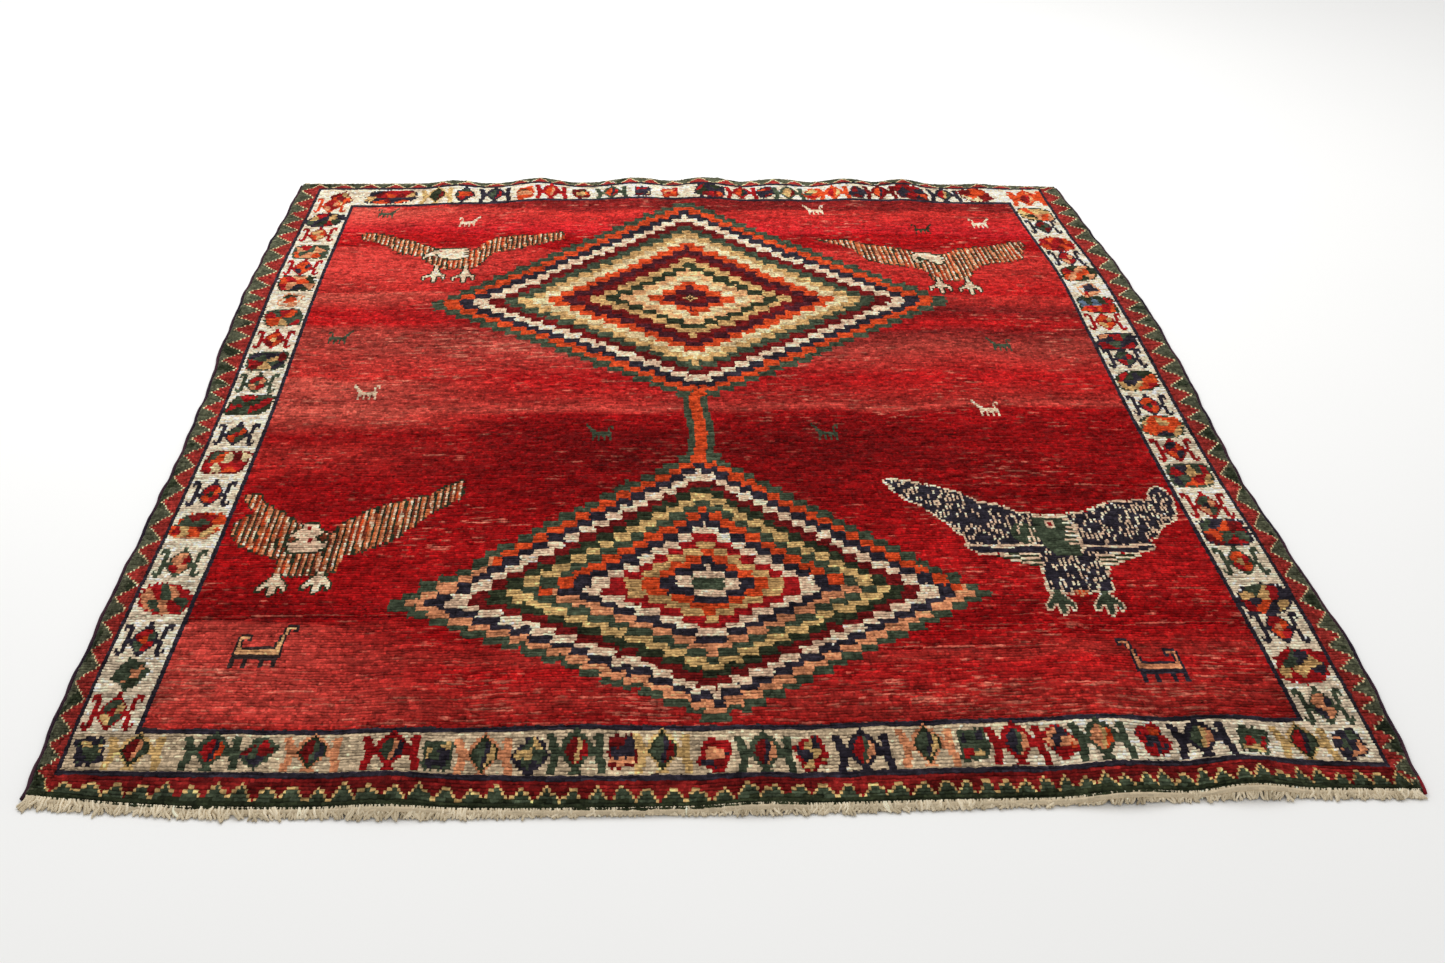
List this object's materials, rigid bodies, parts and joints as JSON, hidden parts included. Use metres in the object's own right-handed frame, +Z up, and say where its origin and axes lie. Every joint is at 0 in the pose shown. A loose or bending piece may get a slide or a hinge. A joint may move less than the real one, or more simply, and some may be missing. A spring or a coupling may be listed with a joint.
{
  "type": "hand-knotted pile rug",
  "caption": "Hand-knotted wool pile rug with a red field, stepped diamonds, birds and animals, an ivory border of small motifs, overcast sides and short fringed ends.",
  "frame": {"origin": "on the floor, under the middle of the rug with its fringes", "axes": "+Z up out of the pile; +Y along the rug's length, from the end with the smaller diamond to the end with the larger one; +X across it, to the right"},
  "size_m": [1.6112, 1.9282, 0.0208],
  "materials": {
    "wool_pile": "clipped wool pile",
    "cord_wool": "wrapped wool yarn",
    "fringe_cotton": "twisted cotton"
  },
  "bodies": {
    "root": {"knotted_body": "wool_pile", "left_cord": "cord_wool", "right_cord": "cord_wool", "front_fringe": "fringe_cotton", "back_fringe": "fringe_cotton"}
  },
  "joints": []
}
